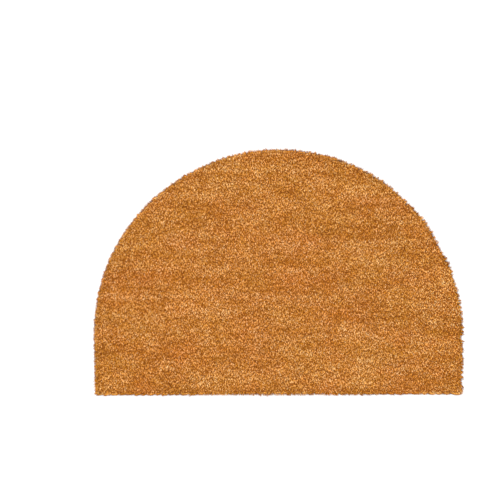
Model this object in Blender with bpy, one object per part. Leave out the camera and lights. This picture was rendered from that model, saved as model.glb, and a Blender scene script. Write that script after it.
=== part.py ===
"""Half round coir doormat, lying flat on the ground.

Metres, +Z up, +X along the straight edge and +Y towards the arc. The origin is on the ground, under
the middle of the mat's box. The mat is one piece: coir pile fused into a thin base and cut to shape.
"""

import math
import random
from collections import namedtuple

import bmesh
import bpy
from mathutils import Vector, geometry, noise

# The cut shape is a half circle on a short straight part, with its two lower corners slightly eased
MAT_WIDTH = 0.600
MAT_DEPTH = 0.400
MAT_THICKNESS = 0.015
CORNER_RADIUS = 0.0024
SHARPEST_CORNER = 0.0004
ARC_RADIUS = MAT_WIDTH / 2
SIDE_LENGTH = MAT_DEPTH - ARC_RADIUS
FOOT_Y = -MAT_DEPTH / 2
ARC_CENTRE_Y = FOOT_Y + SIDE_LENGTH

# How far the blade ran out of square
LEFT_SIDE_LEAN = 0.0018    # the lower left corner lies this far in from the arc's left end
RIGHT_SIDE_LEAN = 0.0008   # and the lower right corner this far in from its right end
RIGHT_END_RISE = 0.0016    # the straight edge's right end lies this far above its left end

# The arc is cut a little uneven: how far it runs outside a true circle at an angle from its right end
Waver = namedtuple("Waver", "degrees outward")
ARC_WAVERS = (
    Waver(0, 0.0),
    Waver(12, -0.0012),
    Waver(21, -0.0009),
    Waver(27, -0.0034),
    Waver(37, -0.0004),
    Waver(46, -0.0013),
    Waver(56, 0.0004),
    Waver(90, 0.0),
    Waver(118, -0.0008),
    Waver(150, 0.0005),
    Waver(180, 0.0),
)
WAVER_DEPTH_POWER = 4      # a waver dies away towards the arc's centre by this power of the distance

# The edge is cut through tufts of pile, which stand out from the cut line or fall short of it. One row
# for each piece of the outline, anticlockwise from the lower left corner. The right side and the right
# half of the arc are shaggy, and the left side is nearly clean.
EdgePiece = namedtuple("EdgePiece", "name tuft_width_start tuft_width_end reach_start reach_end")
EDGE_PIECES = (
    EdgePiece("straight edge", 0.0130, 0.0120, 0.0018, 0.0022),
    EdgePiece("right corner", 0.0040, 0.0040, 0.0, 0.0),
    EdgePiece("right side", 0.0085, 0.0085, 0.0016, 0.0016),
    EdgePiece("arc", 0.0080, 0.0120, 0.0034, 0.0018),
    EdgePiece("left side", 0.0120, 0.0120, 0.0012, 0.0010),
    EdgePiece("left corner", 0.0040, 0.0040, 0.0, 0.0),
)

# One tuft along the edge: a quick rise to its crest and a slow fall, so that tufts overlap like shingles
TuftPoint = namedtuple("TuftPoint", "along height")
TUFT_PROFILE = (TuftPoint(0.0, 0.0), TuftPoint(0.26, 1.0), TuftPoint(0.70, 0.75))
TUFT_WIDTH_SPREAD = 0.35   # share by which a tuft is wider or narrower than the row says
TUFT_LOWEST = 0.30         # the least share of its reach that a tuft stands out
TUFT_LEAN = 0.0008         # most that a tuft's tip leans along the edge
EDGE_SEED = 7

# Where whole tufts are gone from the edge: the place along its piece, and the gap's depth below the
# tufts' full reach and its width. Where a gap is deeper than that reach, the base is nicked as well.
Gap = namedtuple("Gap", "piece place depth width")
GAPS = (
    Gap("right side", 0.0176, 0.0032, 0.0145),
    Gap("right side", 0.0292, 0.0034, 0.0056),
    Gap("right side", 0.0370, 0.0024, 0.0054),
    Gap("right side", 0.0767, 0.0028, 0.0080),
    Gap("right side", 0.0902, 0.0047, 0.0110),
    Gap("arc", 0.0141, 0.0038, 0.0090),
)
GAP_FLOOR = 0.5            # share of a gap's width that is its floor

# The rim from the ground up: how far each level lies inside the cut line, how much of the tufts' reach
# and lean it shows, and how much a standing tuft lifts it
Level = namedtuple("Level", "name height inset tuft_share lift")
RIM_LEVELS = (
    Level("shoulder of the pile", 0.0132, 0.0013, 0.80, 0.0006),
    Level("widest part of the pile", 0.0100, 0.0, 1.00, 0.0),
    Level("foot of the pile", 0.0050, 0.0011, 0.45, 0.0),
    Level("top of the base", 0.0025, 0.0016, 0.0, 0.0),
    Level("underside", 0.0, 0.0016, 0.0, 0.0),
)
TOP_EDGE = Level("edge of the top face", -0.0004, 0.0042, 0.30, 0.0)   # height is from the lumps there

# The top face is uneven: clumps of fibre, and long low bands along the width where the pile lies over
POINT_SPACING = 0.0130
POINT_JITTER = 0.22        # share of the spacing by which a point is nudged off its place
CLEAR_OF_EDGE = 0.6        # share of the spacing that points inside keep from the top face's edge
CLUMP_SIZE = 0.028
CLUMP_RELIEF = 0.00045
BAND_LENGTH = 0.230
BAND_DEPTH = 0.022
BAND_RELIEF = 0.00035
TOP_SEED = 3

# What the triangulation keeps, and how near two points must be to become one
INSIDE_OUTLINE_ONLY = 1
SAME_POINT = 1e-7

NODE_NAME = "coir_mat"
COLLECTION_NAME = "half_round_doormat"
COIR_COLOUR = (0.55, 0.21, 0.05, 1.0)
COIR_ROUGHNESS = 0.95
SHARP_ANGLE = math.radians(55)

# A point of the edge: its piece, how far along it lies, how far its tuft stands out and leans there, its
# share of the tuft's height, and how far the cut itself lies in there
Station = namedtuple("Station", "piece along reach lean share nick")


def clear_scene():
    """Start from an empty scene."""
    for old in list(bpy.data.objects):
        bpy.data.objects.remove(old, do_unlink=True)


def on_line(start, end, along):
    """Point at a share of the way along a line, and its outward direction on an anticlockwise walk."""
    direction = (end - start).normalized()
    return start.lerp(end, along), Vector((direction.y, -direction.x))


def on_arc(centre, radius, start_degrees, end_degrees, along):
    """Point at a share of the way along an arc, and its outward direction."""
    angle = math.radians(start_degrees + (end_degrees - start_degrees) * along)
    outward = Vector((math.cos(angle), math.sin(angle)))
    return centre + radius * outward, outward


def cut_line(piece, along, inset):
    """Point and outward direction on one piece of the outline, with the outline moved in by inset."""
    half = ARC_RADIUS - inset
    foot = FOOT_Y + inset
    corner = max(CORNER_RADIUS - inset, SHARPEST_CORNER)
    if piece == "straight edge":
        return on_line(Vector((corner - half, foot)), Vector((half - corner, foot)), along)
    if piece == "right corner":
        return on_arc(Vector((half - corner, foot + corner)), corner, -90, 0, along)
    if piece == "right side":
        return on_line(Vector((half, foot + corner)), Vector((half, ARC_CENTRE_Y)), along)
    if piece == "arc":
        return on_arc(Vector((0.0, ARC_CENTRE_Y)), half, 0, 180, along)
    if piece == "left side":
        return on_line(Vector((-half, ARC_CENTRE_Y)), Vector((-half, foot + corner)), along)
    return on_arc(Vector((corner - half, foot + corner)), corner, 180, 270, along)


def piece_length(piece):
    """Length of one piece of the cut line."""
    if piece == "straight edge":
        return MAT_WIDTH - 2 * CORNER_RADIUS
    if piece == "arc":
        return math.pi * ARC_RADIUS
    if piece in ("right side", "left side"):
        return SIDE_LENGTH - CORNER_RADIUS
    return math.pi / 2 * CORNER_RADIUS


def full_reach(row, along):
    """How far the tufts of one piece of the edge stand out at most, at a share of the way along."""
    return row.reach_start + (row.reach_end - row.reach_start) * along


def cut_gap(gap, row, stations):
    """Take the stations within a gap away and put the gap's own four in their place."""
    length = piece_length(gap.piece)
    half = gap.width / 2 / length
    middle = gap.place / length
    reach = full_reach(row, middle)
    crest = reach / 2
    floor = max(crest - gap.depth, -reach / 2)
    nick = max(gap.depth - reach, 0.0)
    kept = [station for station in stations if abs(station.along - middle) > half]
    kept.append(Station(gap.piece, middle - half, crest, 0.0, 1.0, 0.0))
    kept.append(Station(gap.piece, middle - half * GAP_FLOOR, floor, 0.0, 0.0, nick))
    kept.append(Station(gap.piece, middle + half * GAP_FLOOR, floor, 0.0, 0.0, nick))
    kept.append(Station(gap.piece, middle + half, crest, 0.0, 1.0, 0.0))
    return sorted(kept, key=lambda station: station.along)


def walk_edge():
    """The stations round the edge, three to a tuft."""
    chance = random.Random(EDGE_SEED)
    walked = []
    for row in EDGE_PIECES:
        stations = []
        mean_width = (row.tuft_width_start + row.tuft_width_end) / 2
        count = max(1, round(piece_length(row.name) / mean_width))
        widths = []
        for number in range(count):
            place = number / count
            width = row.tuft_width_start + (row.tuft_width_end - row.tuft_width_start) * place
            widths.append(width * (1 + TUFT_WIDTH_SPREAD * chance.uniform(-1, 1)))
        whole = sum(widths)
        begun = 0.0
        for width in widths:
            reach = full_reach(row, begun / whole)
            stand = reach * chance.uniform(TUFT_LOWEST, 1)
            lean = min(TUFT_LEAN, reach) * chance.uniform(-1, 1)
            for point in TUFT_PROFILE:
                along = (begun + point.along * width) / whole
                outward = stand * point.height - reach / 2
                stations.append(Station(row.name, along, outward, lean * point.height, point.height, 0.0))
            begun += width
        for gap in GAPS:
            if gap.piece == row.name:
                stations = cut_gap(gap, row, stations)
        walked += stations
    return walked


def waver_at(degrees):
    """How far the cut runs outside a true circle at an angle, eased between the rows of the table."""
    for low, high in zip(ARC_WAVERS, ARC_WAVERS[1:]):
        if degrees <= high.degrees:
            share = (degrees - low.degrees) / (high.degrees - low.degrees)
            eased = share * share * (3 - 2 * share)
            return low.outward + (high.outward - low.outward) * eased
    return 0.0


def as_cut(point):
    """Move a point of the true half round to where the blade's slightly crooked run put it."""
    moved = point.copy()
    from_centre = Vector((point.x, point.y - ARC_CENTRE_Y))
    if from_centre.y > 0:
        degrees = math.degrees(math.atan2(from_centre.y, from_centre.x))
        near_edge = (from_centre.length / ARC_RADIUS) ** WAVER_DEPTH_POWER
        moved += waver_at(degrees) * near_edge * from_centre.normalized()
    below_arc = min(max(-from_centre.y / SIDE_LENGTH, 0.0), 1.0)
    side_lean = LEFT_SIDE_LEAN if point.x < 0 else RIGHT_SIDE_LEAN
    moved.x -= side_lean * below_arc * point.x / ARC_RADIUS
    lower_share = min(max(0.5 - point.y / MAT_DEPTH, 0.0), 1.0)
    moved.y += RIGHT_END_RISE * lower_share * (0.5 + point.x / MAT_WIDTH)
    return moved


def edge_place(station, level):
    """Place in plan of a station at a level of the rim."""
    point, outward = cut_line(station.piece, station.along, level.inset)
    forward = Vector((-outward.y, outward.x))
    point = point + level.tuft_share * (station.reach * outward + station.lean * forward)
    return as_cut(point - station.nick * outward)


def plan_centre(stations):
    """Middle of the box round the widest level, which becomes the origin in plan."""
    widest = [edge_place(station, level) for station in stations for level in RIM_LEVELS]
    middle_x = (min(point.x for point in widest) + max(point.x for point in widest)) / 2
    middle_y = (min(point.y for point in widest) + max(point.y for point in widest)) / 2
    return Vector((middle_x, middle_y))


def lumps(point):
    """Height of the uneven top over its mean, at a place in plan."""
    clump = noise.noise(Vector((point.x / CLUMP_SIZE, point.y / CLUMP_SIZE, TOP_SEED)))
    band = noise.noise(Vector((point.x / BAND_LENGTH, point.y / BAND_DEPTH, -TOP_SEED)))
    return CLUMP_RELIEF * clump + BAND_RELIEF * band


def inside_cut(x, y, inset):
    """Whether a place lies inside the true half round moved in by inset."""
    if y > ARC_CENTRE_Y:
        return math.hypot(x, y - ARC_CENTRE_Y) < ARC_RADIUS - inset
    return abs(x) < ARC_RADIUS - inset and y > FOOT_Y + inset


def top_points():
    """Places inside the top face: an even spread in offset rows, each nudged a little."""
    chance = random.Random(TOP_SEED)
    clear_of_edge = TOP_EDGE.inset + CLEAR_OF_EDGE * POINT_SPACING
    row_step = POINT_SPACING * math.sqrt(3) / 2
    rows = round(MAT_DEPTH / row_step)
    columns = round(MAT_WIDTH / POINT_SPACING)
    points = []
    for row in range(rows + 1):
        for column in range(columns + 1):
            stagger = 0.5 * (row % 2)
            x = (column + stagger - columns / 2 + POINT_JITTER * chance.uniform(-1, 1)) * POINT_SPACING
            y = (row - rows / 2) * row_step + POINT_JITTER * chance.uniform(-1, 1) * POINT_SPACING
            if inside_cut(x, y, clear_of_edge):
                points.append(as_cut(Vector((x, y))))
    return points


def build_top(mesh, stations, centre):
    """The uneven top face, triangulated inside its edge. Each edge point remembers its station."""
    edge = [edge_place(station, TOP_EDGE) - centre for station in stations]
    inner = [point - centre for point in top_points()]
    count = len(edge)
    outline = list(range(count))
    plan = geometry.delaunay_2d_cdt(edge + inner, [], [outline], INSIDE_OUTLINE_ONLY, SAME_POINT)
    places, triangles, sources = plan[0], plan[2], plan[3]
    highest = max(lumps(point) for point in inner)
    station_of = mesh.verts.layers.int.new("station")
    points = []
    for place, source in zip(places, sources):
        height = MAT_THICKNESS - highest + lumps(place)
        on_edge = source[0] < count
        point = mesh.verts.new((place.x, place.y, height + (TOP_EDGE.height if on_edge else 0.0)))
        point[station_of] = source[0] if on_edge else -1
        points.append(point)
    for triangle in triangles:
        mesh.faces.new([points[corner] for corner in triangle])
    return station_of


def build_rim(mesh, station_of, stations, centre):
    """Take the edge down level by level to the ground, then close the flat underside."""
    for level in RIM_LEVELS:
        open_edges = [edge for edge in mesh.edges if edge.is_boundary]
        made = bmesh.ops.extrude_edge_only(mesh, edges=open_edges)["geom"]
        for point in made:
            if not isinstance(point, bmesh.types.BMVert):
                continue
            station = stations[point[station_of]]
            place = edge_place(station, level) - centre
            point.co = (place.x, place.y, level.height + level.lift * station.share)
    open_edges = [edge for edge in mesh.edges if edge.is_boundary]
    bmesh.ops.contextual_create(mesh, geom=open_edges)


def coir_material():
    """Plain orange-brown coir."""
    material = bpy.data.materials.new("coir")
    material.use_nodes = True
    shader = material.node_tree.nodes["Principled BSDF"]
    shader.inputs["Base Color"].default_value = COIR_COLOUR
    shader.inputs["Roughness"].default_value = COIR_ROUGHNESS
    shader.inputs["Metallic"].default_value = 0.0
    return material


def build_mat(collection):
    """The whole mat as one closed solid."""
    stations = walk_edge()
    centre = plan_centre(stations)
    mesh = bmesh.new()
    station_of = build_top(mesh, stations, centre)
    build_rim(mesh, station_of, stations, centre)
    bmesh.ops.triangulate(mesh, faces=mesh.faces)
    bmesh.ops.recalc_face_normals(mesh, faces=mesh.faces)
    mat_mesh = bpy.data.meshes.new(NODE_NAME)
    mesh.to_mesh(mat_mesh)
    mesh.free()
    mat_mesh.shade_smooth()
    mat_mesh.set_sharp_from_angle(angle=SHARP_ANGLE)
    mat_mesh.materials.append(coir_material())
    mat = bpy.data.objects.new(NODE_NAME, mat_mesh)
    collection.objects.link(mat)
    return mat


clear_scene()
doormat = bpy.data.collections.new(COLLECTION_NAME)
bpy.context.scene.collection.children.link(doormat)
build_mat(doormat)
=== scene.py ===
"""Looks of a half round coir doormat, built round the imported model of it. Metres, +Z up."""

import math
from collections import namedtuple

import bmesh
import bpy
import numpy as np
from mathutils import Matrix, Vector
from mathutils.bvhtree import BVHTree


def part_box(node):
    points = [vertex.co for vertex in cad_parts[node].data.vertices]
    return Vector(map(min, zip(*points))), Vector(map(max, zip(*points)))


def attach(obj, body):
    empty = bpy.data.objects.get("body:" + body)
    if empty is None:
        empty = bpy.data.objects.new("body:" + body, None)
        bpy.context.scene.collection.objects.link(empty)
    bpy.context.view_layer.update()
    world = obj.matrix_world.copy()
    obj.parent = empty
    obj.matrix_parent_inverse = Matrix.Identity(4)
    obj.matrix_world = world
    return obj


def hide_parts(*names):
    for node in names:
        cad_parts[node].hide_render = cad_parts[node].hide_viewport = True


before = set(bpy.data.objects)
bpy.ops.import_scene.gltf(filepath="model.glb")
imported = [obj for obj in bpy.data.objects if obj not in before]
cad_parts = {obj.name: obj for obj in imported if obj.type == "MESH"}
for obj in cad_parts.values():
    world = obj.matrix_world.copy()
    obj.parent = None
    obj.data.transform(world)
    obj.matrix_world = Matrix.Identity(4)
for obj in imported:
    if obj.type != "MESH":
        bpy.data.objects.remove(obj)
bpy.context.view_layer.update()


# The base is a thin sheet of soft vinyl, smooth underneath, in which the fibres were stood while it was
# wet. One blade cut it together with the pile, so its edge follows the pile's and lies just inside it.
ARC_RADIUS = 0.300
BASE_THICKNESS = 0.0025
BASE_EASED_EDGE = 0.0004
BASE_STEP_DEGREES = 0.8
BASE_COLOUR = (0.120, 0.078, 0.045, 1.0)
BASE_SCUFF_COLOUR = (0.190, 0.130, 0.080, 1.0)
BASE_ROUGHNESS = 0.42
SCUFF_ROUGHNESS = 0.25      # how much rougher the heaviest scuff is
SCUFF_CONTRAST = 1.6
SCUFF_CLEAR = 0.4           # how much of the scuffs' contrast leaves the colour as it is
SAME_HEIGHT = 1e-6
SHARP_ANGLE = math.radians(40)

# The solid's edge is told by the angle and distance from one place, from which all of it can be seen
FAN_CENTRE = np.array((0.0, -0.05))
EDGE_ANGLE_COUNT = 1800
EDGE_ANGLES = np.linspace(-math.pi, math.pi, EDGE_ANGLE_COUNT + 1)[:-1]
EDGE_HEIGHTS = np.array((0.0010, 0.0026, 0.0050, 0.0075, 0.0100, 0.0115, 0.0130))

cut_solid = BVHTree.FromPolygons(
    [point.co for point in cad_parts["coir_mat"].data.vertices],
    [face.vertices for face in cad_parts["coir_mat"].data.polygons],
)


def solid_edge_table():
    """Distance from the fan centre to the solid's edge: a row for each height, a column for each angle."""
    rows = []
    for height in EDGE_HEIGHTS:
        start = Vector((*FAN_CENTRE, height))
        hits = [cut_solid.ray_cast(start, Vector((math.cos(a), math.sin(a), 0.0)))[3] for a in EDGE_ANGLES]
        rows.append(hits)
    return np.array(rows)


EDGE_TABLE = solid_edge_table()


def edge_distance(angles, heights):
    """Distance from the fan centre to the edge at any angles and heights."""
    by_level = np.array([np.interp(angles, EDGE_ANGLES, row, period=2 * math.pi) for row in EDGE_TABLE])
    place = np.interp(heights, EDGE_HEIGHTS, np.arange(len(EDGE_HEIGHTS)))
    lower = np.clip(place.astype(int), 0, len(EDGE_HEIGHTS) - 2)
    share = place - lower
    column = np.arange(by_level.shape[1])
    return by_level[lower, column] * (1 - share) + by_level[lower + 1, column] * share


def fan_places(reach, angles):
    """Places in plan at distances and angles from the fan centre."""
    return FAN_CENTRE + reach[:, None] * np.c_[np.cos(angles), np.sin(angles)]


def edge_line(height, inset, step_degrees):
    """Points round the edge at a height, moved in towards the fan centre by inset."""
    angles = np.radians(np.arange(-180, 180, step_degrees))
    reach = edge_distance(angles, np.full(angles.shape, height)) - inset
    return [(x, y) for x, y in fan_places(reach, angles)]


def raise_block(mesh, outline, foot, thickness):
    """A block on an outline: its floor at the foot's height, extruded up."""
    floor = mesh.faces.new([mesh.verts.new((x, y, foot)) for x, y in outline])
    floor.normal_flip()
    raised = bmesh.ops.extrude_face_region(mesh, geom=[floor])["geom"]
    lifted = [part for part in raised if isinstance(part, bmesh.types.BMVert)]
    bmesh.ops.translate(mesh, vec=(0.0, 0.0, thickness), verts=lifted)


def finished_mesh(name, mesh, material):
    """The mesh as data of its own, smooth but for its sharp edges, with its material."""
    data = bpy.data.meshes.new(name)
    mesh.to_mesh(data)
    mesh.free()
    data.shade_smooth()
    data.set_sharp_from_angle(angle=SHARP_ANGLE)
    data.materials.append(material)
    return data


def put_in_scene(name, data):
    """An object that shows the data, in the scene."""
    thing = bpy.data.objects.new(name, data)
    bpy.context.scene.collection.objects.link(thing)
    return thing


class Wire:
    """One socket of a material's nodes, used in Python sums: each sum adds its own Math node."""

    def __init__(self, tree, socket=None):
        self.tree = tree
        self.socket = socket

    def node(self, kind, settings, sockets, output=0):
        """Any node: its settings first, then the values or wires of its sockets."""
        made = self.tree.nodes.new(kind)
        for name, value in settings.items():
            if name == "stops":
                ramp = made.color_ramp
                while len(ramp.elements) < len(value):
                    ramp.elements.new(1.0)
                for stop, (position, colour) in zip(ramp.elements, value):
                    stop.position = position
                    stop.color = colour
            else:
                setattr(made, name, value)
        for name, value in sockets.items():
            if isinstance(value, Wire):
                self.tree.links.new(value.socket, made.inputs[name])
            else:
                made.inputs[name].default_value = value
        return Wire(self.tree, made.outputs[output])

    def maths(self, operation, first, second):
        """A Math node on two values."""
        return self.node("ShaderNodeMath", {"operation": operation}, {0: first, 1: second})

    def __add__(self, other):
        return self.maths("ADD", self, other)

    def __radd__(self, other):
        return self.maths("ADD", other, self)

    def __sub__(self, other):
        return self.maths("SUBTRACT", self, other)

    def __rsub__(self, other):
        return self.maths("SUBTRACT", other, self)

    def __mul__(self, other):
        return self.maths("MULTIPLY", self, other)

    def __rmul__(self, other):
        return self.maths("MULTIPLY", other, self)

    def mix(self, first, second):
        """From the first colour to the second as this value goes from 0 to 1."""
        settings = {"data_type": "RGBA"}
        return self.node("ShaderNodeMix", settings, {0: self, 6: first, 7: second}, 2)

    def tint(self, other):
        """This colour multiplied by another."""
        settings = {"data_type": "RGBA", "blend_type": "MULTIPLY"}
        return self.node("ShaderNodeMix", settings, {0: 1.0, 6: self, 7: other}, 2)


def finish_material(name, settings):
    """A material and a wire to start its nodes from; settings are constants on the shader's own sockets."""
    material = bpy.data.materials.new(name)
    material.use_nodes = True
    shader = material.node_tree.nodes["Principled BSDF"]
    for socket, value in settings.items():
        shader.inputs[socket].default_value = value
    return material, shader, Wire(material.node_tree)


def plug(shader, name, wire):
    """Lead a wire into one of the shader's sockets."""
    wire.tree.links.new(wire.socket, shader.inputs[name])


def vinyl_material():
    """Soft brown vinyl: a fine pebbled skin with paler, rougher scuffs."""
    material, shader, start = finish_material("soft vinyl", {"Specular IOR Level": 0.4})
    place = start.node("ShaderNodeTexCoord", {}, {}, "Object")
    scuff_look = {"Vector": place, "Scale": 38.0, "Detail": 5.0, "Roughness": 0.6}
    scuff = start.node("ShaderNodeTexNoise", {}, scuff_look)
    pebble = start.node("ShaderNodeTexVoronoi", {}, {"Vector": place, "Scale": 900.0})
    worn = scuff * SCUFF_CONTRAST - SCUFF_CLEAR
    plug(shader, "Base Color", worn.mix(BASE_COLOUR, BASE_SCUFF_COLOUR))
    plug(shader, "Roughness", BASE_ROUGHNESS + SCUFF_ROUGHNESS * scuff)
    bumps = {"Height": pebble + scuff, "Strength": 0.25, "Distance": 0.0004}
    plug(shader, "Normal", start.node("ShaderNodeBump", {}, bumps))
    return material


def build_base():
    """A flat sheet cut to the mat's edge, with its upper and lower edges eased."""
    mesh = bmesh.new()
    outline = edge_line(EDGE_HEIGHTS[0], 0.0, BASE_STEP_DEGREES)
    raise_block(mesh, outline, 0.0, BASE_THICKNESS)
    bmesh.ops.recalc_face_normals(mesh, faces=mesh.faces)
    rims = [edge for edge in mesh.edges if abs(edge.verts[0].co.z - edge.verts[1].co.z) < SAME_HEIGHT]
    bmesh.ops.bevel(mesh, geom=rims, offset=BASE_EASED_EDGE, segments=2, affect="EDGES")
    return put_in_scene("vinyl_base", finished_mesh("vinyl_base", mesh, vinyl_material()))


base = build_base()
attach(base, "root")
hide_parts("coir_mat")


# The bed of the pile is the lower part of the coir, where the fibres stand too close to be told apart.
# Its dark colour is painted shade, for the shade deep in the pile, and it shows only through the gaps between
# the tufts above it.
BED_TOP = 0.0088
BED_INSET = 0.0032
BED_STEP_DEGREES = 1.0
BED_RELIEF = 0.0007
BED_CUT_STEP = 0.012
BED_CUTS = (((1.0, 0.0, 0.0), 0.29), ((0.0, 1.0, 0.0), 0.19))   # directions, and how far out cuts go
# Painted shade: both colours of the bed are dark for the shade deep in the pile
BED_PAINTED_SHADE_COLOUR = (0.100, 0.028, 0.004, 1.0)
BED_SHADED_FIBRE_COLOUR = (0.260, 0.085, 0.015, 1.0)
BED_FIBRE_WIDTH = 0.22      # how far a fibre's line reaches into the gaps, as a share of a gap
JUST_UNDER_TOP = BED_TOP - 1e-5
PILE_FOOT = BASE_THICKNESS + 0.0002   # height at which the edge of the pile is read

# Smooth random waves over the mat, each with its length along the width and its depth across that
Wave = namedtuple("Wave", "length depth seed")
FIELD_REACH = 0.7
BED_LUMPS = Wave(0.020, 0.012, 5)


def read_lattice(lattice, column, row, share_x, share_y):
    """Values at shares of the way across the cells of a lattice."""
    low = lattice[row, column] * (1 - share_x) + lattice[row, column + 1] * share_x
    high = lattice[row + 1, column] * (1 - share_x) + lattice[row + 1, column + 1] * share_x
    return low * (1 - share_y) + high * share_y


def soft_field(x, y, wave):
    """The waves' value at each place, about -1 to 1."""
    chance = np.random.default_rng(wave.seed)
    columns = int(2 * FIELD_REACH / wave.length) + 4
    rows = int(2 * FIELD_REACH / wave.depth) + 4
    lattice = chance.uniform(-1, 1, (rows, columns))
    across = (x + FIELD_REACH) / wave.length + 1
    up = (y + FIELD_REACH) / wave.depth + 1
    column = across.astype(int)
    row = up.astype(int)
    ease_x = across - column
    ease_y = up - row
    ease_x = ease_x * ease_x * (3 - 2 * ease_x)
    ease_y = ease_y * ease_y * (3 - 2 * ease_y)
    return read_lattice(lattice, column, row, ease_x, ease_y)


def bed_material():
    """Deep coir in painted shade: dark brown, with the paler lines of fibres lying every way."""
    material, shader, start = finish_material("deep coir in painted shade", {"Roughness": 0.95, "Specular IOR Level": 0.1})
    place = start.node("ShaderNodeTexCoord", {}, {}, "Object")
    bend_look = {"Vector": place, "Scale": 260.0, "Detail": 3.0}
    bend = start.node("ShaderNodeTexNoise", {}, bend_look, "Color")
    moved = start.node("ShaderNodeVectorMath", {"operation": "SCALE"}, {0: bend, "Scale": 0.004})
    warped = start.node("ShaderNodeVectorMath", {"operation": "ADD"}, {0: place, 1: moved})
    cells = {"feature": "DISTANCE_TO_EDGE"}
    lines = start.node("ShaderNodeTexVoronoi", cells, {"Vector": warped, "Scale": 520.0})
    stops = [(0.0, (1.0, 1.0, 1.0, 1.0)), (BED_FIBRE_WIDTH, (0.0, 0.0, 0.0, 1.0))]
    fibre = start.node("ShaderNodeValToRGB", {"stops": stops}, {"Fac": lines})
    # Painted shade: dark fibre lines on a darker ground, for the shade deep in the pile
    plug(shader, "Base Color", fibre.mix(BED_PAINTED_SHADE_COLOUR, BED_SHADED_FIBRE_COLOUR))
    bumps = {"Height": fibre, "Strength": 0.6, "Distance": 0.0008}
    plug(shader, "Normal", start.node("ShaderNodeBump", {}, bumps))
    return material


def build_bed():
    """A low block inside the pile's edge, its top cut into a grid and made uneven."""
    mesh = bmesh.new()
    outline = edge_line(PILE_FOOT, BED_INSET, BED_STEP_DEGREES)
    raise_block(mesh, outline, BASE_THICKNESS, BED_TOP - BASE_THICKNESS)
    for axis, reach in BED_CUTS:
        for step in np.arange(-reach, reach, BED_CUT_STEP):
            top = [face for face in mesh.faces if face.calc_center_median().z > JUST_UNDER_TOP]
            parts = top + list({edge for face in top for edge in face.edges})
            parts += list({point for face in top for point in face.verts})
            bmesh.ops.bisect_plane(mesh, geom=parts, plane_co=Vector(axis) * step, plane_no=axis)
    raised = [point for point in mesh.verts if point.co.z > JUST_UNDER_TOP]
    x = np.array([point.co.x for point in raised])
    y = np.array([point.co.y for point in raised])
    for point, lump in zip(raised, soft_field(x, y, BED_LUMPS)):
        point.co.z += BED_RELIEF * float(lump)
    bmesh.ops.recalc_face_normals(mesh, faces=mesh.faces)
    return put_in_scene("pile_bed", finished_mesh("pile_bed", mesh, bed_material()))


bed = build_bed()
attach(bed, "root")
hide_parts("coir_mat")


# The pile is coir, the coarse fibre of the coconut husk: stiff, flattish strands from straw to red brown.
# They stand in small tufts that lean each its own way, with dark gaps between, and were sheared level.
STRAND_SPACING = 0.00105
STRAND_JITTER = 0.42        # how far a root lies off its place in the rows, as a share of the spacing
STRAND_ROOT_WIDTH = 0.00062
STRAND_TIP_WIDTH = 0.00060
STRAND_WIDTH_SPREAD = 0.25  # share by which a strand is wider or narrower
STRAND_ROOT_DEPTH = 0.0015  # how far roots lie below the top of the bed
STRAND_STRIPS = 5
STRAND_STRAY = 0.0005       # how far a strand's tip lies from where its tuft would put it
STRAY_SPREAD = 0.6
PILE_START = 0.0030         # roots nearer to the edge than this belong to the rows round the edge
MAT_ROOM = (0.62, 0.42)     # the strands' rows fill a box of this size, and the tufts the next
TUFT_ROOM = (0.64, 0.44)

TUFT_WIDTH = 0.0013
TUFT_DEPTH = 0.0020
TUFT_JITTER = 0.45
TUFT_LEAN = 0.0036          # how far a tuft's tips lie from its roots, at most
TUFT_LEAN_ACROSS = 0.35     # share of that along the width, because the grain runs along the depth
TUFT_LEAN_LEAST = 0.05      # the square of the least lean, as a share
TUFT_GATHER = 0.35          # how far strands close in on the middle of their tuft, as a share
SHEAR_UNEVEN = 0.0011       # how far below the sheared height a tip may end, and the shares of that
TUFT_DROP_SHARE = 0.6       # which its tuft and the strand itself decide
STRAND_DROP_SHARE = 0.4
EDGE_SPLAY_WIDTH = 0.0090   # tufts nearer to the edge than this lean outwards, by this much at the edge
EDGE_SPLAY = 0.0016
SPLAY_POWER = 1.5
SPLAY_TAKES = 0.5           # share of its own lean that a tuft loses at the edge

MEAN_TONE = 0.50
BAND_TONE = 0.085
PATCH_TONE = 0.080
TUFT_TONE_SPREAD = 0.13
STRAND_TONE_SPREAD = 0.13
DARK_TUFTS = 0.09           # share of tufts that are dark and short, and how much darker they are: partly the coir's own dark fibres, partly painted shade for the pits they leave
DARK_TUFT_TONE_AND_SHADE = -0.40
DARK_TUFT_DROP = 2.0        # how low they end, where other tufts have a drop of 0 to 1
PALE_TUFTS = 0.07
PALE_TUFT_TONE = 0.22
RIM_PAINTED_SHADE = 0.10            # painted shade: how much darker strands get towards the edge, as they stand more open to the light there
MEAN_HUE = 0.62
HUE_PATCH_SHARE = 0.38
HUE_SPECKLE_SHARE = 0.24
HUE_STRAY = 0.05
TONE_CELLS = 24             # strands are dyed in this many tones, and in this many hues
HUE_CELLS = 6
TONE_MARGIN = 0.2           # room kept at the sides of a dye's cell in the strands' map
HUE_MARGIN = 0.1
TUFT_SEED = 10
STRAND_SEED = 11

LONG_BANDS = Wave(0.120, 0.011, 21)
SHORT_BANDS = Wave(0.060, 0.005, 22)
SHORT_BAND_SHARE = 0.7
PATCHES = Wave(0.018, 0.013, 23)
SPECKLE = Wave(0.008, 0.006, 24)
SPECKLE_SHARE = 0.8
HUE_PATCHES = Wave(0.060, 0.030, 31)
HUE_SPECKLE = Wave(0.020, 0.012, 32)

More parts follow.
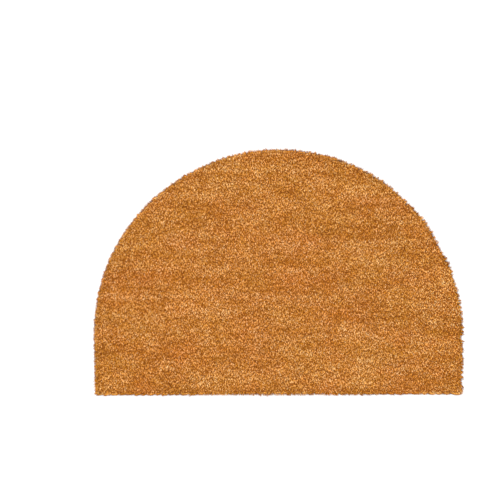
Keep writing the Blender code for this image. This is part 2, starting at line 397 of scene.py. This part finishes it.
# Each stop is a tone and the colour of a strand of that tone
RED_BROWN_STOPS = [
    (0.0, (0.215, 0.044, 0.000, 1.0)),
    (0.35, (0.650, 0.229, 0.021, 1.0)),
    (0.65, (0.885, 0.427, 0.127, 1.0)),
    (1.0, (0.975, 0.715, 0.380, 1.0)),
]
STRAW_STOPS = [
    (0.0, (0.200, 0.056, 0.000, 1.0)),
    (0.35, (0.615, 0.259, 0.021, 1.0)),
    (0.65, (0.860, 0.463, 0.118, 1.0)),
    (1.0, (0.960, 0.745, 0.355, 1.0)),
]
# Painted shade: strands darken to this towards their roots, for the shade deep in the pile
ROOT_PAINTED_SHADE = (0.30, 0.14, 0.03, 1.0)
NO_PAINTED_SHADE = (1.0, 1.0, 1.0, 1.0)
ROOT_UNSHADED_SHARE = 0.10           # share of the way from that painted shade to none, right at the root
STREAK_TONE = 0.06
STRAND_ROUGHNESS = 0.62
STREAK_ROUGHNESS = 0.25

TOP_GRID = 0.004
TOP_REACH = (0.304, 0.204)
ABOVE_MAT = 0.05
TOP_OUTSIDE = 0.0130        # the height taken where the solid has no top
LAST_CELL = 1.001           # keeps a place inside the last cell of the grid
top_x = np.arange(-TOP_REACH[0], TOP_REACH[0] + TOP_GRID / 4, TOP_GRID)
top_y = np.arange(-TOP_REACH[1], TOP_REACH[1] + TOP_GRID / 4, TOP_GRID)


def solid_top_table():
    """Height of the solid's top over a grid."""
    down = Vector((0.0, 0.0, -1.0))
    rows = []
    for y in top_y:
        hits = [cut_solid.ray_cast(Vector((x, y, ABOVE_MAT)), down)[0] for x in top_x]
        rows.append([hit.z if hit else TOP_OUTSIDE for hit in hits])
    return np.array(rows)


TOP_TABLE = solid_top_table()


def top_height(x, y):
    """Height of the solid's uneven top at any places."""
    across = np.clip((x - top_x[0]) / TOP_GRID, 0, len(top_x) - LAST_CELL)
    up = np.clip((y - top_y[0]) / TOP_GRID, 0, len(top_y) - LAST_CELL)
    column = across.astype(int)
    row = up.astype(int)
    return read_lattice(TOP_TABLE, column, row, across - column, up - row)


# The edge's direction is taken over this many steps of its table each way, and its level just over the base
DIRECTION_STEPS = 6
FOOT_ROW = 1


def edge_outward():
    """Outward direction of the edge for each angle of the edge table, smoothed over the tufts."""
    ring = EDGE_TABLE[FOOT_ROW][:, None] * np.c_[np.cos(EDGE_ANGLES), np.sin(EDGE_ANGLES)]
    along = np.roll(ring, -DIRECTION_STEPS, axis=0) - np.roll(ring, DIRECTION_STEPS, axis=0)
    outward = np.c_[along[:, 1], -along[:, 0]]
    return outward / np.linalg.norm(outward, axis=1)[:, None]


EDGE_OUTWARD = edge_outward()


def edge_facts(x, y, height):
    """How far places lie inside the edge at a height, and the edge's outward direction there."""
    away = np.c_[x, y] - FAN_CENTRE
    angles = np.arctan2(away[:, 1], away[:, 0])
    outward = np.c_[
        np.interp(angles, EDGE_ANGLES, EDGE_OUTWARD[:, 0], period=2 * math.pi),
        np.interp(angles, EDGE_ANGLES, EDGE_OUTWARD[:, 1], period=2 * math.pi),
    ]
    length = np.hypot(away[:, 0], away[:, 1])
    inside = edge_distance(angles, np.broadcast_to(height, x.shape)) - length
    facing = np.abs((away * outward).sum(1)) / np.maximum(length, SAME_HEIGHT)
    return inside * facing, outward


def scatter(spacing, jitter, chance):
    """Places over the mat's box in offset rows, each nudged off its place."""
    row_step = spacing * math.sqrt(3) / 2
    columns = int(MAT_ROOM[0] / spacing)
    rows = int(MAT_ROOM[1] / row_step)
    column, row = np.meshgrid(np.arange(columns), np.arange(rows))
    x = (column + 0.5 * (row % 2) - columns / 2 + jitter * chance.uniform(-1, 1, column.shape)) * spacing
    y = (row - rows / 2) * row_step + jitter * spacing * chance.uniform(-1, 1, column.shape)
    return x.ravel(), y.ravel()


class Tufts:
    """The small tufts that the strands stand in: each one's middle, lean, tone and drop in height."""

    def __init__(self, chance):
        self.columns = int(TUFT_ROOM[0] / TUFT_WIDTH) + 2
        self.rows = int(TUFT_ROOM[1] / TUFT_DEPTH) + 2
        whole = self.columns * self.rows
        column, row = np.meshgrid(np.arange(self.columns), np.arange(self.rows))
        nudge = TUFT_JITTER * chance.uniform(-1, 1, (2, whole))
        self.x = (column.ravel() - self.columns / 2 + nudge[0]) * TUFT_WIDTH
        self.y = (row.ravel() - self.rows / 2 + nudge[1]) * TUFT_DEPTH
        angle = chance.uniform(0, 2 * math.pi, whole)
        length = TUFT_LEAN * np.sqrt(chance.uniform(TUFT_LEAN_LEAST, 1, whole))
        self.lean = length[:, None] * np.c_[TUFT_LEAN_ACROSS * np.cos(angle), np.sin(angle)]
        kind = chance.uniform(0, 1, whole)
        self.tone = TUFT_TONE_SPREAD * chance.normal(0, 1, whole)
        # Dark tufts: partly dark fibres, partly painted shade for the pits they leave
        self.tone[kind < DARK_TUFTS] += DARK_TUFT_TONE_AND_SHADE
        self.tone[kind > 1 - PALE_TUFTS] += PALE_TUFT_TONE
        self.drop = chance.uniform(0, 1, whole)
        self.drop[kind < DARK_TUFTS] = DARK_TUFT_DROP

    def nearest(self, x, y):
        """Index of the tuft nearest to each place."""
        column = np.clip((x / TUFT_WIDTH + self.columns / 2 + 0.5).astype(int), 1, self.columns - 2)
        row = np.clip((y / TUFT_DEPTH + self.rows / 2 + 0.5).astype(int), 1, self.rows - 2)
        best = np.full(x.shape, np.inf)
        found = np.zeros(x.shape, int)
        for down in (-1, 0, 1):
            for across in (-1, 0, 1):
                index = (row + down) * self.columns + column + across
                distance = np.hypot((self.x[index] - x) / TUFT_WIDTH, (self.y[index] - y) / TUFT_DEPTH)
                nearer = distance < best
                best = np.where(nearer, distance, best)
                found = np.where(nearer, index, found)
        return found


tufts = Tufts(np.random.default_rng(TUFT_SEED))


def coir_tone(x, y):
    """How pale the coir is at each place, 0 to 1: long bands along the width, patches and speckle."""
    bands = soft_field(x, y, LONG_BANDS) + SHORT_BAND_SHARE * soft_field(x, y, SHORT_BANDS)
    patches = soft_field(x, y, PATCHES) + SPECKLE_SHARE * soft_field(x, y, SPECKLE)
    return MEAN_TONE + BAND_TONE * bands + PATCH_TONE * patches


def coir_hue(x, y):
    """How yellow the coir is at each place, 0 red brown to 1 straw."""
    patches = HUE_PATCH_SHARE * soft_field(x, y, HUE_PATCHES)
    return MEAN_HUE + patches + HUE_SPECKLE_SHARE * soft_field(x, y, HUE_SPECKLE)


def strand_material():
    """Coir strands: the tone and hue that each strand carries, with painted shade towards its root, and dull
    streaks.
    """
    material, shader, start = finish_material("coir strands", {"Specular IOR Level": 0.05})
    tone = start.node("ShaderNodeAttribute", {"attribute_name": "tone"}, {}, "Fac")
    hue = start.node("ShaderNodeAttribute", {"attribute_name": "hue"}, {}, "Fac")
    along = start.node("ShaderNodeAttribute", {"attribute_name": "along"}, {}, "Fac")
    place = start.node("ShaderNodeTexCoord", {}, {}, "Object")
    streak = start.node("ShaderNodeTexNoise", {}, {"Vector": place, "Scale": 1500.0, "Detail": 2.0})
    pale = tone + STREAK_TONE * (streak - 0.5)
    red_brown = start.node("ShaderNodeValToRGB", {"stops": RED_BROWN_STOPS}, {"Fac": pale})
    straw = start.node("ShaderNodeValToRGB", {"stops": STRAW_STOPS}, {"Fac": pale})
    colour = hue.mix(red_brown, straw)
    # Painted shade, darker towards the root
    shade = (ROOT_UNSHADED_SHARE + (1 - ROOT_UNSHADED_SHARE) * along).mix(ROOT_PAINTED_SHADE, NO_PAINTED_SHADE)
    plug(shader, "Base Color", colour.tint(shade))
    plug(shader, "Roughness", STRAND_ROUGHNESS + STREAK_ROUGHNESS * streak)
    bumps = {"Height": streak, "Strength": 0.3, "Distance": 0.0002}
    plug(shader, "Normal", start.node("ShaderNodeBump", {}, bumps))
    return material


coir_strands = strand_material()


def strand_sides(lines, widths, spins):
    """The two points, one each side of a strand, at each point of its line."""
    count, points = lines.shape[:2]
    forward = np.diff(lines, axis=1)
    forward /= np.linalg.norm(forward, axis=2, keepdims=True)
    across = np.cross(forward[:, 0], np.c_[np.cos(spins), np.sin(spins), np.zeros(count)])
    across /= np.linalg.norm(across, axis=1, keepdims=True)
    places = np.empty((count, points, 2, 3))
    for number in range(points):
        if number:
            across = np.cross(forward[:, number - 1], across)
            across /= np.linalg.norm(across, axis=1, keepdims=True)
        half = across * widths[:, number, None] / 2
        places[:, number, 0] = lines[:, number] - half
        places[:, number, 1] = lines[:, number] + half
    return places


def build_strands(name, lines, widths, spins, tones, hues):
    """One mesh of closed strands. Each stretch between two points of a line is a sliver with four faces,
    whose two end edges lie crosswise, so a strand is flat and twists a quarter turn at each point.
    lines is strands by points by 3, widths strands by points, and the rest is one value a strand."""
    count, points = lines.shape[:2]
    first = (np.arange(count)[:, None] * points + np.arange(points - 1)) * 2
    corners = np.array(((0, 1, 2), (1, 0, 3), (2, 3, 0), (3, 2, 1)))
    faces = (first[:, :, None, None] + corners).reshape(-1, 3)
    along = np.broadcast_to((np.arange(points) / (points - 1))[None, :, None], (count, points, 2))
    tone_cell = np.clip(np.floor(tones * TONE_CELLS), 0, TONE_CELLS - 1)
    hue_cell = np.clip(np.floor(hues * HUE_CELLS), 0, HUE_CELLS - 1)
    cell_sides = np.broadcast_to((TONE_MARGIN, 1 - TONE_MARGIN), (count, points, 2))
    map_u = (tone_cell[:, None, None] + cell_sides) / TONE_CELLS
    map_v = (hue_cell[:, None, None] + HUE_MARGIN + (1 - 2 * HUE_MARGIN) * along) / HUE_CELLS
    data = bpy.data.meshes.new(name)
    data.vertices.add(count * points * 2)
    data.vertices.foreach_set("co", strand_sides(lines, widths, spins).ravel())
    data.loops.add(faces.size)
    data.loops.foreach_set("vertex_index", faces.ravel())
    data.polygons.add(len(faces))
    data.polygons.foreach_set("loop_start", np.arange(0, faces.size, 3))
    data.update(calc_edges=True)
    strand_map = data.uv_layers.new(name="OFBake")
    strand_map.data.foreach_set("uv", np.c_[map_u.ravel(), map_v.ravel()][faces.ravel()].ravel())
    for title, values in (
        ("tone", np.repeat((tone_cell + 0.5) / TONE_CELLS, points * 2)),
        ("hue", np.repeat((hue_cell + 0.5) / HUE_CELLS, points * 2)),
        ("along", along.ravel()),
    ):
        data.attributes.new(title, "FLOAT", "POINT").data.foreach_set("value", values)
    data.shade_smooth()
    data.materials.append(coir_strands)
    piece = put_in_scene(name, data)
    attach(piece, "root")
    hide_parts("coir_mat")
    return piece


def strand_lines(roots, root_height, tips, tip_heights):
    """The line of each strand, from its root to its tip."""
    lines = np.empty((len(roots), 2, 3))
    lines[:, 0, :2] = roots
    lines[:, 0, 2] = root_height
    lines[:, 1, :2] = tips
    lines[:, 1, 2] = tip_heights
    return lines


def strand_widths(count, tip_width, chance):
    """Widths of strands at root and tip, some strands wider and some narrower."""
    widths = np.c_[np.full(count, STRAND_ROOT_WIDTH), np.full(count, tip_width)]
    return widths * chance.uniform(1 - STRAND_WIDTH_SPREAD, 1 + STRAND_WIDTH_SPREAD, (count, 1))


def build_pile():
    """The standing pile, in strips across the mat."""
    chance = np.random.default_rng(STRAND_SEED)
    x, y = scatter(STRAND_SPACING, STRAND_JITTER, chance)
    inside, outward = edge_facts(x, y, PILE_FOOT)
    kept = inside > PILE_START
    x, y, inside, outward = x[kept], y[kept], inside[kept], outward[kept]
    count = len(x)
    mine = tufts.nearest(x, y)
    gather = TUFT_GATHER * np.c_[tufts.x[mine] - x, tufts.y[mine] - y]
    stray = STRAND_STRAY * chance.normal(0, STRAY_SPREAD, (count, 2))
    splay = np.clip(1 - inside / EDGE_SPLAY_WIDTH, 0, 1)[:, None] ** SPLAY_POWER
    own_lean = (tufts.lean[mine] + gather) * (1 - SPLAY_TAKES * splay)
    tips = np.c_[x, y] + own_lean + stray + EDGE_SPLAY * splay * outward
    sheared = top_height(tips[:, 0], tips[:, 1])
    drop = TUFT_DROP_SHARE * tufts.drop[mine] + STRAND_DROP_SHARE * chance.uniform(0, 1, count)
    lines = strand_lines(np.c_[x, y], BED_TOP - STRAND_ROOT_DEPTH, tips, sheared - SHEAR_UNEVEN * drop)
    widths = strand_widths(count, STRAND_TIP_WIDTH, chance)
    tones = coir_tone(tips[:, 0], tips[:, 1]) + tufts.tone[mine]
    tones += STRAND_TONE_SPREAD * chance.normal(0, 1, count)
    # Painted shade: strands near the edge are darker, as they stand more open to the light
    tones -= RIM_PAINTED_SHADE * splay[:, 0]
    hues = coir_hue(x, y) + HUE_STRAY * chance.normal(0, 1, count)
    spins = chance.uniform(0, 2 * math.pi, count)
    strips = np.array_split(np.argsort(x, kind="stable"), STRAND_STRIPS)
    return [
        build_strands(f"pile_{number + 1}", lines[s], widths[s], spins[s], tones[s], hues[s])
        for number, s in enumerate(strips)
    ]


pile = build_pile()


# The edge of the pile is cut too, and nothing holds its outer strands up: they splay past the base in
# rows, most on the shaggy right side and the start of the arc, and make the ragged outline.
EDGE_ROWS = 6
EDGE_ROW_DEPTH = 0.00075
EDGE_ROW_NEAREST = 0.2      # where in its row's depth a root may lie nearest to the edge
EDGE_STRAND_STEP = 0.00080
EDGE_ROOT_DEPTH = 0.0003    # how far roots go into the base
EDGE_LOWEST_TIP = 0.0076
EDGE_HIGHEST_TIP = 0.0143
EDGE_ROW_RISE = 0.0012
EDGE_TIP_SPREAD = 0.0036
EDGE_TIP_NARROWING = 0.9
EDGE_STICK_OUT = 0.0010     # how far past the cut the outermost row's tips end, on average
EDGE_ROW_FALL = 0.00060     # and how much less each further row does
EDGE_FUZZ = 0.0006          # how far a stray tip stands out past the others, on average
EDGE_FUZZ_MIDDLE = 0.5
EDGE_SIDE_STRAY = 0.0010    # how far a tip strays along the edge
EDGE_SIDE_SPREAD = 0.7
EDGE_GATHER = 0.0012        # how far tips move along the edge to the crest of their tuft
EDGE_TUFT_REACH = 0.0024    # how far the tips of one small tuft stand out past those of the next
EDGE_TUFT_MIDDLE = 0.5      # the drop of a tuft that stands out neither more nor less than the rest
EDGE_MOST_DROP = 1.2
EDGE_PAINTED_SHADE = 0.42           # painted shade: how much darker the strands of the outer rows are, as they stand open to the light
EDGE_INNER_PAINTED_SHADE = 0.06     # and those of the innermost row
EDGE_STRAW = 0.20           # how much nearer to straw their hue is
EDGE_WALK_STEPS = 7200
EDGE_SEED = 12
SLOPE_STEP = 0.0010
TUFT_FLANK = 0.0020         # how far the edge comes out over two such steps on a tuft's steepest flank

# How shaggy the edge is by the angle seen from the fan centre: the straight edge and the left side are
# cut clean, and the right side and the start of the arc are ragged
Shag = namedtuple("Shag", "degrees share")
SHAG = (
    Shag(-180, 0.35),
    Shag(-27, 0.30),
    Shag(-25, 0.90),
    Shag(-8, 0.90),
    Shag(5, 1.40),
    Shag(60, 1.20),
    Shag(180, 0.35),
)


def edge_rise(angles, heights):
    """How far the edge comes out from one step before each angle to one step after it."""
    step = SLOPE_STEP / ARC_RADIUS
    return edge_distance(angles + step, heights) - edge_distance(angles - step, heights)


def edge_slope(angles, heights):
    """How steeply the tufts run outwards with the angle, -1 to 1, against the smooth cut of the base."""
    smooth_rise = edge_rise(angles, np.full(angles.shape, EDGE_HEIGHTS[0]))
    return np.clip((edge_rise(angles, heights) - smooth_rise) / TUFT_FLANK, -1, 1)


def walk_rows(chance):
    """Angle and row of each strand of the edge, evenly spaced round the base but for some chance."""
    angles = np.linspace(-math.pi, math.pi, EDGE_WALK_STEPS)
    reach = edge_distance(angles, np.full(angles.shape, BASE_THICKNESS))
    ring = fan_places(reach, angles)
    walked = np.r_[0, np.cumsum(np.linalg.norm(np.diff(ring, axis=0), axis=1))]
    number = int(walked[-1] / EDGE_STRAND_STEP)
    row = np.repeat(np.arange(EDGE_ROWS), number)
    places = np.tile(np.arange(number), EDGE_ROWS) + chance.uniform(0, 1, len(row))
    return np.interp(places / number * walked[-1], walked, angles), row


def build_edge_pile():
    """Rows of strands round the base's edge, leaning out to the solid's own outline."""
    chance = np.random.default_rng(EDGE_SEED)
    angle, row = walk_rows(chance)
    count = len(angle)
    inset = EDGE_ROW_DEPTH * (row + chance.uniform(EDGE_ROW_NEAREST, 1.0, count))
    base_reach = edge_distance(angle, np.full(count, BASE_THICKNESS))
    height = EDGE_LOWEST_TIP + EDGE_ROW_RISE * row + EDGE_TIP_SPREAD * chance.uniform(0, 1, count)
    height = np.minimum(height, EDGE_HIGHEST_TIP - SHEAR_UNEVEN * chance.uniform(0, 1, count))
    level = np.minimum(height, EDGE_HEIGHTS[-1])
    aside = EDGE_SIDE_STRAY * chance.normal(0, EDGE_SIDE_SPREAD, count)
    aside += EDGE_GATHER * edge_slope(angle, level)
    tip_angle = angle + aside / base_reach
    roots = fan_places(base_reach - inset, angle)
    mine = tufts.nearest(roots[:, 0], roots[:, 1])
    shag = np.interp(np.degrees(angle), [row.degrees for row in SHAG], [row.share for row in SHAG])
    outward = EDGE_STICK_OUT - EDGE_ROW_FALL * row
    outward += EDGE_FUZZ * (chance.exponential(1, count) - EDGE_FUZZ_MIDDLE)
    outward += EDGE_TUFT_REACH * shag * (EDGE_TUFT_MIDDLE - np.minimum(tufts.drop[mine], EDGE_MOST_DROP))
    tips = fan_places(edge_distance(tip_angle, level) + outward, tip_angle)
    lines = strand_lines(roots, BASE_THICKNESS - EDGE_ROOT_DEPTH, tips, height)
    widths = strand_widths(count, STRAND_TIP_WIDTH * EDGE_TIP_NARROWING, chance)
    # Painted shade on the outer rows, fading on the inner ones
    shade = np.interp(row, (EDGE_ROWS / 2, EDGE_ROWS - 1), (EDGE_PAINTED_SHADE, EDGE_INNER_PAINTED_SHADE))
    tones = coir_tone(tips[:, 0], tips[:, 1]) + tufts.tone[mine] - shade
    tones += STRAND_TONE_SPREAD * chance.normal(0, 1, count)
    hues = coir_hue(tips[:, 0], tips[:, 1]) + EDGE_STRAW + HUE_STRAY * chance.normal(0, 1, count)
    spins = chance.uniform(0, 2 * math.pi, count)
    return build_strands("edge_pile", lines, widths, spins, tones, hues)


edge_pile = build_edge_pile()


# The ground is plain and nearly white. A broad soft lamp hangs above it and a white room fills the
# shade, and the camera looks straight down through a long lens, with the mat right of and below centre.
PHOTO_SIDE = 500
PHOTO_MAT_LEFT = 93.5
PHOTO_MAT_RIGHT = 464.3
PHOTO_MAT_FOOT = 396.0
CAMERA_HEIGHT = 4.0
VIEW_END = 30.0
SENSOR_MM = 36.0
GROUND_REACH = 8.0
GROUND_COLOUR = (0.54, 0.54, 0.54, 1.0)
GROUND_PALE_COLOUR = (0.56, 0.56, 0.56, 1.0)
LAMP_PLACE = (-0.35, 0.45, 5.0)
LAMP_SIZE = 2.0
LAMP_WATTS = 430.0
ROOM_COLOUR = (1.0, 1.0, 1.0, 1.0)
ROOM_LIGHT = 1.00


def build_ground():
    """A wide plain floor, with the faintest mottle."""
    mesh = bmesh.new()
    bmesh.ops.create_grid(mesh, x_segments=1, y_segments=1, size=GROUND_REACH)
    material, shader, start = finish_material("pale ground", {"Roughness": 0.9, "Specular IOR Level": 0.1})
    place = start.node("ShaderNodeTexCoord", {}, {}, "Object")
    mottle = start.node("ShaderNodeTexNoise", {}, {"Vector": place, "Scale": 3.0, "Detail": 2.0})
    plug(shader, "Base Color", mottle.mix(GROUND_COLOUR, GROUND_PALE_COLOUR))
    ground = put_in_scene("ground", finished_mesh("ground", mesh, material))


def add_lamp():
    """A square soft lamp that points at the mat's middle."""
    lamp = bpy.data.lights.new("overhead lamp", "AREA")
    lamp.shape = "SQUARE"
    lamp.size = LAMP_SIZE
    lamp.energy = LAMP_WATTS
    hung = put_in_scene("overhead lamp", lamp)
    hung.location = LAMP_PLACE
    hung.rotation_euler = (-Vector(LAMP_PLACE)).to_track_quat("-Z", "Y").to_euler()


def add_room_light():
    """Even white light from all round."""
    room = bpy.data.worlds.new("white room")
    room.use_nodes = True
    background = room.node_tree.nodes["Background"]
    background.inputs["Color"].default_value = ROOM_COLOUR
    background.inputs["Strength"].default_value = ROOM_LIGHT
    bpy.context.scene.world = room
    bpy.context.scene.view_settings.view_transform = "Standard"


def add_camera():
    """Straight above, framed by where the mat's edges lie in the photograph."""
    low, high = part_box("coir_mat")
    per_pixel = (high.x - low.x) / (PHOTO_MAT_RIGHT - PHOTO_MAT_LEFT)
    centre_x = low.x + (PHOTO_SIDE / 2 - PHOTO_MAT_LEFT) * per_pixel
    centre_y = low.y + (PHOTO_MAT_FOOT - PHOTO_SIDE / 2) * per_pixel
    lens = bpy.data.cameras.new("camera")
    lens.sensor_width = SENSOR_MM
    lens.lens = SENSOR_MM * (CAMERA_HEIGHT - high.z) / (PHOTO_SIDE * per_pixel)
    lens.clip_end = VIEW_END
    camera = put_in_scene("camera", lens)
    camera.location = (centre_x, centre_y, CAMERA_HEIGHT)
    bpy.context.scene.camera = camera


build_ground()
add_lamp()
add_room_light()
add_camera()
